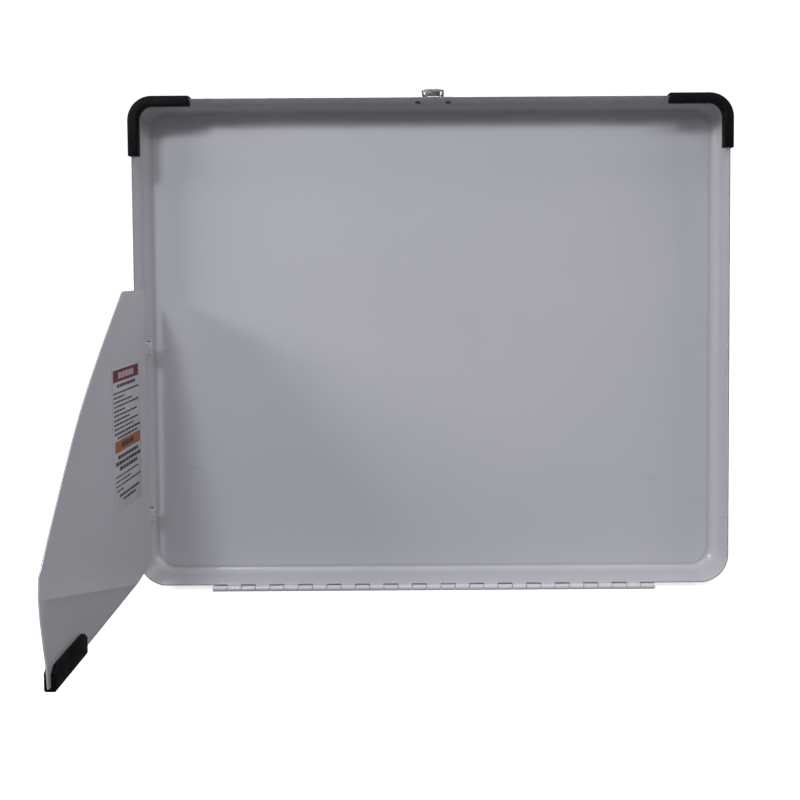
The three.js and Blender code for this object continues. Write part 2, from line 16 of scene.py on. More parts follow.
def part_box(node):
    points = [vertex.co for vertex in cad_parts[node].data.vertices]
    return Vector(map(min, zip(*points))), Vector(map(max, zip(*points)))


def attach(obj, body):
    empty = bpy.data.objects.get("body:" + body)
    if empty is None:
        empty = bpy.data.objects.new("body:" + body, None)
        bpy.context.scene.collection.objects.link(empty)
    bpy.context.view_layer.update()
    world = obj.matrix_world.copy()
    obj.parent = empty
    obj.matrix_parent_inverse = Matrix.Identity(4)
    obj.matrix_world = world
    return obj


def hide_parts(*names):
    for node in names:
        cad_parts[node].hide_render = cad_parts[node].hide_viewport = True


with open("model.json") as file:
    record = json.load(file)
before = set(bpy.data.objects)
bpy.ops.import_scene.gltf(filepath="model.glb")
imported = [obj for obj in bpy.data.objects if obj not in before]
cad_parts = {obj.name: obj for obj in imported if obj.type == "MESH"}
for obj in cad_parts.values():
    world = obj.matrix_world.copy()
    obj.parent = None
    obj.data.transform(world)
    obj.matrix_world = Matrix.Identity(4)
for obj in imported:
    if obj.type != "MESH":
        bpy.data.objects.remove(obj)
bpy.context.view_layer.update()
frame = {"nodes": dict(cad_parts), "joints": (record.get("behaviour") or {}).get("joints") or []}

MM = 0.001
NODES = frame["nodes"]
AXES = {"x": Vector((1, 0, 0)), "y": Vector((0, 1, 0)), "z": Vector((0, 0, 1))}


def box_mm(node):
    low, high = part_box(node)
    return low / MM, high / MM


# ---------- places and sizes, read from the frame ----------
LID_LOW, LID_HIGH = box_mm("lid_shell")
LID_MIDDLE = (LID_LOW + LID_HIGH) / 2
RIM_Y = LID_LOW.y
SHEET = 1.0
LID_CORNER = 25.0
WALL_DEPTH = 24.0
FILLET_DEEP = 9.0
FILLET_IN = {"left": 5.0, "right": 6.3, "bottom": 3.6, "top": 5.5}
PANEL_RAMP = 3.2
PANEL_RISE = 0.8
PANEL_CROWN = 0.5
GUARD_INSIDE = 6.4  # from the wall's outer face to the guard's inner face
GUARD_INNER_DEPTH = 5.0
GUARD_CORNER = {"outer": 21.5, "inner": 12.0}
GUARD_OUTER_ROUND = 1.7
GUARD_OUTER_ROUND_DEEP = 2.2  # from the guard's front face to the middle of its outer rounding
GUARD_INNER_ROUND = 1.3
CLEAR = 0.3
EDGE_BAND = 0.32  # how far the rim's darker colour reaches: edge wear and painted shade
PIVOT_HOLE_RADIUS = 1.8

HINGE_LOW, HINGE_HIGH = box_mm("hinge_pin")
KNUCKLES = 31
KNUCKLE_PITCH = (HINGE_HIGH.x - HINGE_LOW.x) / KNUCKLES
KNUCKLE_GAP = 0.35
KNUCKLE_RADIUS = 2.5
LEAF_SHEET = 1.2
LEAF_NOTCH = 0.6  # room between a leaf and the other leaf's knuckles
HINGE_PIN_RADIUS = 1.1
HINGE_AXIS = (HINGE_LOW + HINGE_HIGH) / 2
SCREW_HOLES = 5
SCREW_HOLE_PITCH = 84
SCREW_HOLE_BACK = 19
SCREW_HOLE_RADIUS = 2.2
TAB_FOOT = 4.4
TAB_OVER_RIM = 0.95
TAB_FRONT, TAB_BACK = 0.28, 0.3

JOINTS = {joint["name"]: joint for joint in frame["joints"]}
WING_AXIS = Vector(JOINTS["wing_fold"]["pos_m"]) / MM
WING_LOW, WING_HIGH = box_mm("wing_panel")
JOGGLE = 1.3
PIVOTS = {
    name: (box_mm(f"wing_bracket_{name}")[0].z + box_mm(f"wing_bracket_{name}")[1].z) / 2
    for name in ("upper", "lower")
}
PIVOT_HOLE_Y = (box_mm("wing_rivet_upper")[0].y + box_mm("wing_rivet_upper")[1].y) / 2

LEVER_AXIS = Vector(JOINTS["latch_lever_flip"]["pos_m"]) / MM
BAIL_AXIS = Vector(JOINTS["latch_bail_swing"]["pos_m"]) / MM


# ---------- meshes ----------
def new_object(name, points, faces):
    """An object from points in millimetres, welded, with its faces turned outwards."""
    mesh = bpy.data.meshes.new(name)
    mesh.from_pydata([tuple(Vector(p) * MM) for p in points], [], faces)
    work = bmesh.new()
    work.from_mesh(mesh)
    bmesh.ops.remove_doubles(work, verts=work.verts, dist=1e-6)
    bmesh.ops.recalc_face_normals(work, faces=work.faces)
    work.to_mesh(mesh)
    work.free()
    obj = bpy.data.objects.new(name, mesh)
    bpy.context.scene.collection.objects.link(obj)
    return obj


def apply_modifiers(obj):
    bpy.context.view_layer.update()
    depsgraph = bpy.context.evaluated_depsgraph_get()
    made = bpy.data.meshes.new_from_object(obj.evaluated_get(depsgraph))
    obj.modifiers.clear()
    obj.data = made
    return obj


def bevel(obj, width, segments=3, angle=35):
    """Rounds the edges sharper than angle by width, in millimetres."""
    modifier = obj.modifiers.new("round", "BEVEL")
    modifier.width = width * MM
    modifier.segments = segments
    modifier.limit_method = "ANGLE"
    modifier.angle_limit = math.radians(angle)
    modifier.use_clamp_overlap = True
    return apply_modifiers(obj)


def combine(obj, tools, operation):
    """Joins or cuts obj with the tool objects, which are used up."""
    for tool in tools:
        modifier = obj.modifiers.new("combine", "BOOLEAN")
        modifier.object = tool
        modifier.operation = operation
        modifier.solver = "EXACT"
        apply_modifiers(obj)
        bpy.data.objects.remove(tool)
    return obj


def loft(name, loops, close_start=True, close_end=True):
    """Skins closed loops of equal length, in order."""
    count = len(loops[0])
    points = [p for loop in loops for p in loop]
    faces = []
    for k in range(len(loops) - 1):
        for i in range(count):
            j = (i + 1) % count
            faces.append((k * count + i, k * count + j, (k + 1) * count + j, (k + 1) * count + i))
    if close_start:
        faces.append(tuple(range(count))[::-1])
    if close_end:
        faces.append(tuple(range((len(loops) - 1) * count, len(loops) * count)))
    return new_object(name, points, faces)


def turned(name, profile, centre, axis, segments=40):
    """A lathe of (radius, along) pairs round an axis through centre. The profile's ends are capped."""
    main = AXES[axis]
    side = AXES["y"] if axis != "y" else AXES["z"]
    other = main.cross(side)
    loops = []
    for radius, along in profile:
        ring = []
        for i in range(segments):
            angle = 2 * math.pi * i / segments
            spoke = side * math.cos(angle) + other * math.sin(angle)
            ring.append(Vector(centre) + main * along + spoke * radius)
        loops.append(ring)
    return loft(name, loops)


def round_bar(name, centre, axis, low, high, radius, edge=0.2, segments=40):
    """A round bar from low to high along an axis, with eased ends."""
    profile = [(radius - edge, low), (radius, low + edge), (radius, high - edge), (radius - edge, high)]
    return turned(name, profile, centre, axis, segments)


def plate(name, outline, axis, low, high):
    """A flat outline extruded along an axis; its pairs are (y, z), (x, z) or (x, y)."""
    place = {
        "x": lambda u, v, w: (w, u, v),
        "y": lambda u, v, w: (u, w, v),
        "z": lambda u, v, w: (u, v, w),
    }[axis]
    return loft(name, [[place(u, v, w) for u, v in outline] for w in (low, high)])


def arc(centre, radius, start, end, steps):
    """Points of an arc in a plane, with its angles in degrees."""
    made = []
    for i in range(steps + 1):
        angle = math.radians(start + (end - start) * i / steps)
        made.append((centre[0] + radius * math.cos(angle), centre[1] + radius * math.sin(angle)))
    return made


def finish(obj, body, finish_material, replaced=(), sharp=32):
    """Smooth shading, material, body and the CAD nodes that obj stands for."""
    obj.data.materials.clear()
    obj.data.materials.append(finish_material)
    obj.data.shade_smooth()
    obj.data.set_sharp_from_angle(angle=math.radians(sharp))
    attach(obj, body)
    if replaced:
        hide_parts(*replaced)
    return obj


# ---------- materials ----------
class Finish:
    """A Principled material whose colour, roughness and bump come from noise in the piece's own space."""

    def __init__(self, name, roughness, metallic=0.0, coat=0.0, coat_roughness=0.05, specular=0.5):
        self.material = bpy.data.materials.new(name)
        self.material.use_nodes = True
        self.tree = self.material.node_tree
        self.shader = self.tree.nodes["Principled BSDF"]
        self.shader.inputs["Roughness"].default_value = roughness
        self.shader.inputs["Metallic"].default_value = metallic
        self.shader.inputs["Coat Weight"].default_value = coat
        self.shader.inputs["Coat Roughness"].default_value = coat_roughness
        self.shader.inputs["Specular IOR Level"].default_value = specular
        self.coordinates = self.tree.nodes.new("ShaderNodeTexCoord").outputs["Object"]
        self.normal = None

    def noise(self, scale, detail=3.0, stretch=(1, 1, 1), distortion=0.0):
        """Noise with features of about 1 / scale metres."""
        mapping = self.tree.nodes.new("ShaderNodeMapping")
        mapping.inputs["Scale"].default_value = stretch
        texture = self.tree.nodes.new("ShaderNodeTexNoise")
        texture.inputs["Scale"].default_value = scale
        texture.inputs["Detail"].default_value = detail
        texture.inputs["Distortion"].default_value = distortion
        self.tree.links.new(self.coordinates, mapping.inputs["Vector"])
        self.tree.links.new(mapping.outputs["Vector"], texture.inputs["Vector"])
        return texture.outputs["Fac"]

    def cells(self, scale):
        texture = self.tree.nodes.new("ShaderNodeTexVoronoi")
        texture.inputs["Scale"].default_value = scale
        self.tree.links.new(self.coordinates, texture.inputs["Vector"])
        return texture.outputs["Distance"]

    def ramp(self, value, stops):
        node = self.tree.nodes.new("ShaderNodeValToRGB")
        node.color_ramp.elements[0].position = stops[0][0]
        node.color_ramp.elements[0].color = (*stops[0][1], 1)
        node.color_ramp.elements[1].position = stops[-1][0]
        node.color_ramp.elements[1].color = (*stops[-1][1], 1)
        for position, colour in stops[1:-1]:
            node.color_ramp.elements.new(position).color = (*colour, 1)
        self.tree.links.new(value, node.inputs["Fac"])
        return node.outputs["Color"]

    def blend(self, low, high, factor):
        """Mixes two colours by a factor; each may be a socket or a plain value."""
        node = self.tree.nodes.new("ShaderNodeMix")
        node.data_type = "RGBA"
        for name, value in (("Factor", factor), ("A", low), ("B", high)):
            if isinstance(value, bpy.types.NodeSocket):
                self.tree.links.new(value, node.inputs[name])
            elif name == "Factor":
                node.inputs[name].default_value = value
            else:
                node.inputs[name].default_value = (*value, 1)
        return node.outputs["Result"]

    def range(self, value, low, high, start=0.3, end=0.7):
        node = self.tree.nodes.new("ShaderNodeMapRange")
        node.inputs["From Min"].default_value = start
        node.inputs["From Max"].default_value = end
        node.inputs["To Min"].default_value = low
        node.inputs["To Max"].default_value = high
        self.tree.links.new(value, node.inputs["Value"])
        return node.outputs["Result"]

    def colour(self, value):
        self.tree.links.new(value, self.shader.inputs["Base Color"])
        return self

    def roughness(self, value):
        self.tree.links.new(value, self.shader.inputs["Roughness"])
        return self

    def bump(self, value, height, strength=1.0):
        """Adds a layer of relief, height in millimetres."""
        node = self.tree.nodes.new("ShaderNodeBump")
        node.inputs["Distance"].default_value = height * MM
        node.inputs["Strength"].default_value = strength
        self.tree.links.new(value, node.inputs["Height"])
        if self.normal:
            self.tree.links.new(self.normal, node.inputs["Normal"])
        self.normal = node.outputs["Normal"]
        self.tree.links.new(self.normal, self.shader.inputs["Normal"])
        return self


def tint(colour, factor):
    return tuple(min(1.0, c * factor) for c in colour)


def enamel(name, base, roughness=0.2):
    """Baked gloss enamel: soft cloudy tone, faint orange peel, and thin rubbed marks."""
    made = Finish(name, roughness, coat=0.35, coat_roughness=0.04)
    clouds = made.ramp(made.noise(5, 3), [(0.3, tint(base, 0.965)), (0.7, tint(base, 1.035))])
    warm = tuple(c * k for c, k in zip(base, (1.02, 1.015, 0.965)))
    patches = made.ramp(made.noise(2.2, 2), [(0.35, base), (0.75, warm)])
    scuff = made.range(made.noise(38, 6, (0.35, 1, 2.4), 0.6), 0.0, 0.55, 0.70, 0.80)
    made.colour(made.blend(made.blend(clouds, patches, 0.5), tint(base, 0.86), scuff))
    made.roughness(made.range(made.noise(26, 4), roughness * 0.8, roughness * 1.35))
    made.bump(made.noise(14, 2), 0.05)
    made.bump(made.noise(420, 2), 0.006)
    return made.material


def rim_wear_and_shade(base):
    """The rim's front edge, much darker than the enamel, with a few chips: partly the bare cut edge, partly
    painted shade for the dark line along the rim.
    """
    made = Finish("rim_edge_wear_and_shade", 0.4)
    stops = [(0.35, tint(base, 0.28)), (0.6, tint(base, 0.5)), (0.75, tint(base, 0.62))]
    made.colour(made.ramp(made.noise(90, 4), stops))
    made.bump(made.noise(300, 3), 0.03)
    return made.material


def black_plastic():
    """Moulded black plastic: a leathery grain and slightly rubbed high spots."""
    made = Finish("guard_plastic", 0.55, specular=0.13)
    base = (0.0032, 0.0032, 0.0037)
    tone = made.ramp(made.noise(160, 5), [(0.3, tint(base, 0.7)), (0.6, base), (0.78, tint(base, 2.6))])
    made.colour(tone)
    made.roughness(made.range(made.noise(60, 3), 0.38, 0.68))
    made.bump(made.noise(700, 4, distortion=0.4), 0.12)
    made.bump(made.cells(900), 0.05)
    return made.material


def bright_nickel():
    """Nickel plating: fine drawing lines, faint smudges."""
    made = Finish("bright_nickel", 0.2, metallic=1.0)
    base = (0.52, 0.525, 0.55)
    tone = made.ramp(made.noise(120, 4), [(0.3, tint(base, 0.72)), (0.65, tint(base, 1.1))])
    made.colour(tone)
    made.roughness(made.range(made.noise(200, 4), 0.13, 0.34))
    made.bump(made.noise(900, 3, (0.15, 1, 1)), 0.01)
    return made.material


def zinc_steel():
    """Zinc-plated steel: dull spangle and darker pits."""
    made = Finish("zinc_steel", 0.38, metallic=1.0)
    base = (0.33, 0.335, 0.35)
    tone = made.ramp(made.noise(260, 5), [(0.3, tint(base, 0.5)), (0.6, base), (0.8, tint(base, 1.35))])
    made.colour(tone)
    made.roughness(made.range(made.noise(340, 4), 0.26, 0.52))
    made.bump(made.noise(800, 3), 0.02)
    return made.material


def printed(name, base, roughness=0.42, spread=0.12):
    """Printed film: an ink tone that is a little uneven, with a fine tooth."""
    made = Finish(name, roughness, specular=0.45)
    low, high = tint(base, 1 - spread), tint(base, 1 + spread)
    made.colour(made.ramp(made.noise(240, 4), [(0.3, low), (0.7, high)]))
    made.roughness(made.range(made.noise(90, 3), roughness * 0.85, roughness * 1.2))
    made.bump(made.noise(1200, 2), 0.004)
    return made.material


ENAMEL_BASE = (0.615, 0.612, 0.652)
ENAMEL = enamel("enamel", ENAMEL_BASE)
# Partly painted shade: the dark colour of the rim's front edge.
RIM_WEAR_AND_SHADE = rim_wear_and_shade(ENAMEL_BASE)
# The hinge and the wing's brackets wear the lid's enamel made 1.25 times lighter: painted light, the
# brightness that the knuckles catch put into the paint's colour.
LIGHTENED_ENAMEL = enamel("enamel_lightened", tint(ENAMEL_BASE, 1.25), 0.3)
PLASTIC = black_plastic()
NICKEL = bright_nickel()
ZINC = zinc_steel()
FILM = enamel("label_film", ENAMEL_BASE)
RED_INK = printed("red_ink", (0.17, 0.014, 0.024))
ORANGE_INK = printed("orange_ink", (0.42, 0.115, 0.022))
DARK_INK = printed("dark_ink", (0.03, 0.03, 0.036))
PALE_INK = printed("pale_ink", (0.52, 0.44, 0.46))


# ---------- lid tray ----------
def tray_loop(insets, y, bulge=0.0, steps=14):
    """A rounded rectangle inset from the lid's outline by its own amount on each side."""
    made = []
    corners = [("right", "top"), ("left", "top"), ("left", "bottom"), ("right", "bottom")]
    for number, (across, up) in enumerate(corners):
        sx = 1 if across == "right" else -1
        sz = 1 if up == "top" else -1
        cx = LID_MIDDLE.x + sx * (LID_HIGH.x - LID_MIDDLE.x - LID_CORNER)
        cz = LID_MIDDLE.z + sz * (LID_HIGH.z - LID_MIDDLE.z - LID_CORNER)
        for i in range(steps + 1):
            angle = (number + i / steps) * math.pi / 2
            x = cx + (LID_CORNER - insets[across]) * math.cos(angle)
            z = cz + (LID_CORNER - insets[up]) * math.sin(angle)
            made.append(Vector((x, y - bulge, z)))
    return made


def tray_face(thickness, fillet_steps=10, ramp_steps=5):
    """Loops of one face of the sheet, from the rim to the panel's border: thickness 0 is the outer face."""
    valley = WALL_DEPTH + FILLET_DEEP + SHEET - thickness
    loops = [tray_loop(dict.fromkeys(FILLET_IN, thickness), RIM_Y + SHEET / 2)]
    for i in range(fillet_steps + 1):
        angle = math.pi / 2 * i / fillet_steps
        depth = WALL_DEPTH + (valley - WALL_DEPTH) * math.sin(angle)
        insets = {}
        for side, fillet in FILLET_IN.items():
            wide = fillet + SHEET - thickness
            insets[side] = fillet + SHEET - wide * math.cos(angle)
        loops.append(tray_loop(insets, RIM_Y + depth))
    for i in range(1, ramp_steps + 1):
        share = i / ramp_steps
        insets = {side: fillet + SHEET + PANEL_RAMP * share for side, fillet in FILLET_IN.items()}
        rise = PANEL_RISE * share * share * (3 - 2 * share)
        loops.append(tray_loop(insets, RIM_Y + valley - rise))
    return loops


def panel_rings(border, rings=16):
    """Rings from the panel's border to its middle, with a slight crown and waviness of pressed sheet."""
    made = []
    for k in range(1, rings + 1):
        share = k / rings * 0.985
        ring = []
        for p in border:
            x = p.x + (LID_MIDDLE.x - p.x) * share
            z = p.z + (LID_MIDDLE.z - p.z) * share
            fade = min(1.0, share * 3) ** 2
            wave = 0.16 * math.sin(x / 61 + 0.6) * math.cos(z / 47 - 0.4) + 0.1 * math.sin((x + z) / 83)
            crown = PANEL_CROWN * (1 - (1 - share) ** 2)
            ring.append(Vector((x, p.y - crown - wave * fade, z)))
        made.append(ring)
    return made


def lid_shell():
    outer, inner = tray_face(0.0), tray_face(SHEET)
    rim = []
    for i in range(1, 6):
        angle = math.pi * i / 6
        inset = SHEET / 2 * (1 - math.cos(angle))
        rim.append(tray_loop(dict.fromkeys(FILLET_IN, inset), RIM_Y + SHEET / 2 * (1 - math.sin(angle))))
    outer_back = panel_rings(outer[-1])
    for ring in outer_back:
        for p in ring:
            p.y = max(p.y, RIM_Y + WALL_DEPTH + FILLET_DEEP)
    inner_front = panel_rings(inner[-1])
    loops = outer_back[::-1] + outer[::-1] + rim + inner + inner_front
    shell = loft("lid_tray", loops)
    drills = []
    for height in PIVOTS.values():
        centre = (LID_HIGH.x, PIVOT_HOLE_Y, height)
        drills.append(round_bar("drill", centre, "x", -3, 3, PIVOT_HOLE_RADIUS))
    combine(shell, drills, "DIFFERENCE")
    finish(shell, "lid", ENAMEL, ["lid_shell"])
    shell.data.materials.append(RIM_WEAR_AND_SHADE)
    # Painted shade, with edge wear: the rim's front faces get the dark edge colour.
    for face in shell.data.polygons:
        if face.center.y < (RIM_Y + EDGE_BAND) * MM:
            face.material_index = 1


# ---------- corner guards ----------
def guard_profile(out, front, depth):
    """Section of the channel moulding as (outward, along) pairs, with round outer edges."""
    wall = -SHEET - CLEAR
    made = [(out, depth)]
    shoulder = out - GUARD_OUTER_ROUND
    lip = GUARD_INNER_ROUND - GUARD_INSIDE
    made += arc((shoulder, -front + GUARD_OUTER_ROUND_DEEP), GUARD_OUTER_ROUND, 0, -90, 6)[:-1]
    made += [(shoulder, -front), (lip, -front)]
    made += arc((lip, -front + GUARD_INNER_ROUND), GUARD_INNER_ROUND, -90, -180, 5)[1:]
    made += [(-GUARD_INSIDE, GUARD_INNER_DEPTH), (wall, GUARD_INNER_DEPTH)]
    made += [(wall, -CLEAR), (CLEAR, -CLEAR), (CLEAR, depth)]
    return made


def guard_radius(outward, out):
    """Corner radius of one point of the guard's section: its skins turn tighter than the lid's wall."""
    if outward > CLEAR:
        return GUARD_CORNER["outer"] + outward - out
    if outward < -SHEET - CLEAR:
        return GUARD_CORNER["inner"] + outward + GUARD_INSIDE
    return LID_CORNER + outward


def corner_guard(side, name, steps=20):
    low, high = box_mm(name)
    out = max(abs(low.x), abs(high.x)) - LID_HIGH.x
    top_end = min(abs(low.x), abs(high.x))
    profile = guard_profile(out, RIM_Y - low.y, high.y - RIM_Y)
    loops = [[Vector((side * (LID_HIGH.x + u), RIM_Y + v, low.z)) for u, v in profile]]
    for i in range(steps + 1):
        angle = math.pi / 2 * i / steps
        loop = []
        for u, v in profile:
            radius = guard_radius(u, out)
            x = LID_HIGH.x + u - radius + radius * math.cos(angle)
            z = LID_HIGH.z + u - radius + radius * math.sin(angle)
            loop.append(Vector((side * x, RIM_Y + v, z)))
        loops.append(loop)
    loops.append([Vector((side * top_end, RIM_Y + v, LID_HIGH.z + u)) for u, v in profile])
    guard = bevel(loft(f"{name}_moulding", loops), 0.45, 3, 50)
    finish(guard, "lid", PLASTIC, [name])


# ---------- piano hinge ----------
def hinge_leaf(name, node, own, low, width, holes=()):
    """One leaf: a sheet with its own rolled knuckles."""
    axis_y = HINGE_AXIS.y
    start = HINGE_LOW.x
    back = KNUCKLE_RADIUS + LEAF_NOTCH
    outline = []
    knuckles = []
    for i in range(KNUCKLES):
        if not own(i):
            continue
        left = start + i * KNUCKLE_PITCH + KNUCKLE_GAP / 2
        right = left + KNUCKLE_PITCH - KNUCKLE_GAP
        outline += [(left, axis_y + back), (left, axis_y), (right, axis_y), (right, axis_y + back)]
        centre = (0, axis_y, KNUCKLE_RADIUS)
        knuckles.append(round_bar("knuckle", centre, "x", left, right, KNUCKLE_RADIUS, 0.35, 28))
    end = HINGE_HIGH.x - KNUCKLE_GAP / 2
    if not own(0):
        outline.insert(0, (-end, axis_y + back))
        outline.append((end, axis_y + back))
    outline += [(end, axis_y + width), (-end, axis_y + width)]
    leaf = plate(name, outline, "z", low, low + LEAF_SHEET)
    drills = [round_bar("drill", (x, y, 0), "z", -2, 6, SCREW_HOLE_RADIUS, 0.1, 32) for x, y in holes]
    combine(leaf, drills, "DIFFERENCE")
    bevel(leaf, 0.18, 2, 50)
    if node == "hinge_lid_leaf":
        knuckles += rim_tabs(own)
    merge(leaf, knuckles)
    body = "base_leaf" if node == "hinge_base_leaf" else "lid"
    # Painted light: the leaf wears the lightened copy of the lid's enamel.
    finish(leaf, body, LIGHTENED_ENAMEL, [node])


def rim_tabs(own):
    """Paint bridges from the lid leaf's knuckles up over the lid's lower rim."""
    made = []
    top = LID_LOW.z + TAB_OVER_RIM
    for i in range(KNUCKLES):
        if own(i):
            left = HINGE_LOW.x + i * KNUCKLE_PITCH + KNUCKLE_GAP / 2
            right = left + KNUCKLE_PITCH - KNUCKLE_GAP
            outline = [(left, TAB_FOOT), (right, TAB_FOOT), (right, top), (left, top)]
            made.append(plate("tab", outline, "y", RIM_Y - TAB_FRONT, RIM_Y + TAB_BACK))
    return made


def merge(obj, others):
    """Puts the meshes of others into obj, as separate closed shells."""
    work = bmesh.new()
    work.from_mesh(obj.data)
    for other in others:
        work.from_mesh(other.data)
    work.to_mesh(obj.data)
    work.free()
    for other in others:
        bpy.data.objects.remove(other)
    return obj


def piano_hinge():
    lid_width = box_mm("hinge_lid_leaf")[1].y - HINGE_AXIS.y
    base_width = box_mm("hinge_base_leaf")[1].y - HINGE_AXIS.y
    lid_low = 2 * KNUCKLE_RADIUS - LEAF_SHEET
    hinge_leaf("hinge_leaf_on_lid", "hinge_lid_leaf", lambda i: i % 2 == 1, lid_low, lid_width)
    middle = SCREW_HOLES // 2
    holes = [((i - middle) * SCREW_HOLE_PITCH, HINGE_AXIS.y + SCREW_HOLE_BACK) for i in range(SCREW_HOLES)]
    hinge_leaf("hinge_leaf_free", "hinge_base_leaf", lambda i: i % 2 == 0, 0, base_width, holes)
    ends = (HINGE_LOW.x, HINGE_HIGH.x)
    pin = round_bar("hinge_pin_wire", HINGE_AXIS, "x", *ends, HINGE_PIN_RADIUS, 0.4, 24)
    finish(pin, "lid", ZINC, ["hinge_pin"])


# ---------- wind wing ----------
def smooth(points, steps):
    """A Catmull-Rom curve through points of (forward, height)."""
    padded = [points[0], *points, points[-1]]
    made = []
    for k in range(1, len(padded) - 2):
        a, b, c, d = (Vector(p) for p in padded[k - 1:k + 3])
        for i in range(steps):
            t = i / steps
            made.append((2 * b + (c - a) * t + (2 * a - 5 * b + 4 * c - d) * t * t
                         + (3 * b - a - 3 * c + d) * t ** 3) / 2)
    made.append(Vector(points[-1]))
    return [(p.x, p.y) for p in made]


def height_at(curve, forward):
    """Height of a curve, given as points in order of forward distance, at one distance."""
    for (f0, h0), (f1, h1) in zip(curve, curve[1:]):
        if f0 <= forward <= f1:
            return h0 + (h1 - h0) * (forward - f0) / (f1 - f0 or 1)
    return curve[-1][1] if forward > curve[-1][0] else curve[0][1]


WING_TOP = WING_HIGH.z
WING_REACH = WING_AXIS.y - WING_LOW.y
FRONT_EDGE = [(68.6, 262.8), (104.2, 229.4), (134.6, 198.8), (158.6, 170.1), (196.1, 116.7), (212, 93)]
WING_NOSE = [(215.2, 88), (215.6, 84)]
WING_REAR_FOOT = [(5, 24), (14, 21.5), (24, 20)]
WING_BOTTOM = [(42, 18.6), (144, 11.8), (200, 9.2), (209, 10.5)]
WING_TIP = [(211.1, 28.7), (213.1, 39), (215.5, 60), (WING_REACH, 75)]
WING_UPPER_EDGE = [(5, 24), (11, WING_TOP), (60, WING_TOP), (63.5, WING_TOP - 1.4),
                   *smooth(FRONT_EDGE, 6), *WING_NOSE, (WING_REACH, 75.1)]
WING_LOWER_EDGE = [*WING_REAR_FOOT, *WING_BOTTOM, *WING_TIP]
JOGGLE_TOP = [*WING_REAR_FOOT, WING_NOSE[1], (WING_REACH, 75.1)]
JOGGLE_FOOT = [*WING_REAR_FOOT, WING_BOTTOM[0], (WING_REACH, 75)]
CREASE_HIGH = 3.2  # the press line along the joggle's foot
CREASE_DEEP = 0.3
JOGGLE_START = 24  # forward of the wing's axis
JOGGLE_RUN_IN = 18
JOGGLE_RUN_OUT = 4
ROLL_RADIUS = 2.2
ROLL_HALF = 3.7
TONGUE_LONG = 12
TONGUE_HALF = 3.6
TONGUE_HALF_THICK = 0.43
WING_GUARD_TALL = 15.0
WING_GUARD_UNDER = 2.0
WING_GUARD_ROUND = 1.6
CHEEK_DROP = 0.3  # the share by which the cheeks sink at the moulding's ends
CHEEK_RUN = 5


def wing_columns():
    """Distances forward of the axis at which the wing's sheet has a column of points."""
    made = set()
    for curve in (WING_UPPER_EDGE, WING_LOWER_EDGE, JOGGLE_FOOT):
        made.update(round(f, 3) for f, _ in curve)
    made.update(range(6, 11))
    made.update(range(12, int(WING_REACH), 4))
    return sorted(made)


def wing_rows(forward):
    """(height, shift) pairs of one column, from the wing's lower edge to its upper edge."""
    low = height_at(WING_LOWER_EDGE, forward)
    high = height_at(WING_UPPER_EDGE, forward)
    foot = max(low, height_at(JOGGLE_FOOT, forward))
    top = max(foot, height_at(JOGGLE_TOP, forward))
    rows = []
    bead = min(CREASE_HIGH, foot - low)
    for i in range(6):
        rows.append((low + (foot - bead - low) * i / 6, JOGGLE))
    for i in range(5):
        rise = CREASE_DEEP * math.sin(math.pi * i / 5) * bead / CREASE_HIGH
        rows.append((foot - bead * (1 - i / 5), JOGGLE + rise))
    for i in range(9):
        share = i / 8
        ease = share * share * (3 - 2 * share)
        rows.append((foot + (top - foot) * share, JOGGLE * (1 - ease)))
    for i in range(1, 25):
        rows.append((top + (high - top) * i / 24, 0.0))
    return rows


def joggle_fade(forward):
    """The joggle runs out at the wing's rear lower corner and at its front corner."""
    start = max(0.0, (forward - JOGGLE_START) / JOGGLE_RUN_IN)
    end = max(0.0, (WING_REACH - forward) / JOGGLE_RUN_OUT)
    return min(1.0, start, end)


def wing_panel():
    columns = wing_columns()
    grids = []
    for half in (-SHEET / 2, SHEET / 2):
        grid = []
        for forward in columns:
            fade = joggle_fade(forward)
            column = []
            for height, shift in wing_rows(forward):
                wave = 0.12 * math.sin(forward / 37) * math.sin(height / 53 + 0.5)
                x = WING_AXIS.x + half + shift * fade + wave
                column.append(Vector((x, WING_AXIS.y - forward, height)))
            grid.append(column)
        grids.append(grid)
    rows = len(grids[0][0])
    count = len(columns)
    points = [p for grid in grids for column in grid for p in column]

    def index(face, column, row):
        return face * count * rows + column * rows + row

    faces = []
    for face in (0, 1):
        for c in range(count - 1):
            for r in range(rows - 1):
                corners = ((c, r), (c + 1, r), (c + 1, r + 1), (c, r + 1))
                quad = [index(face, column, row) for column, row in corners]
                faces.append(quad if face else quad[::-1])
    border = [(c, 0) for c in range(count)] + [(count - 1, r) for r in range(1, rows)]
    border += [(c, rows - 1) for c in range(count - 2, -1, -1)] + [(0, r) for r in range(rows - 2, 0, -1)]
    for (c0, r0), (c1, r1) in zip(border, border[1:] + border[:1]):
        faces.append([index(0, c0, r0), index(0, c1, r1), index(1, c1, r1), index(1, c0, r0)])
    panel = new_object("wing_sheet", points, faces)
    dissolve_slivers(panel)
    bevel(panel, 0.3, 2, 60)
    rolled = []
    for height in PIVOTS.values():
        centre = (WING_AXIS.x, WING_AXIS.y, height)
        rolled.append(round_bar("roll", centre, "z", -ROLL_HALF, ROLL_HALF, ROLL_RADIUS, 0.3, 32))
        low = (WING_AXIS.y - TONGUE_LONG, height - TONGUE_HALF)
        high = (WING_AXIS.y, height + TONGUE_HALF)
        outline = [low, (high[0], low[1]), high, (low[0], high[1])]
        sides = (WING_AXIS.x - TONGUE_HALF_THICK, WING_AXIS.x + TONGUE_HALF_THICK)
        rolled.append(plate("tongue", outline, "x", *sides))
    merge(panel, rolled)
    finish(panel, "wing", ENAMEL, ["wing_panel"], 50)


def dissolve_slivers(obj):
    work = bmesh.new()
    work.from_mesh(obj.data)
    bmesh.ops.dissolve_degenerate(work, dist=2e-5, edges=work.edges)
    bmesh.ops.recalc_face_normals(work, faces=work.faces)
    work.to_mesh(obj.data)
    work.free()


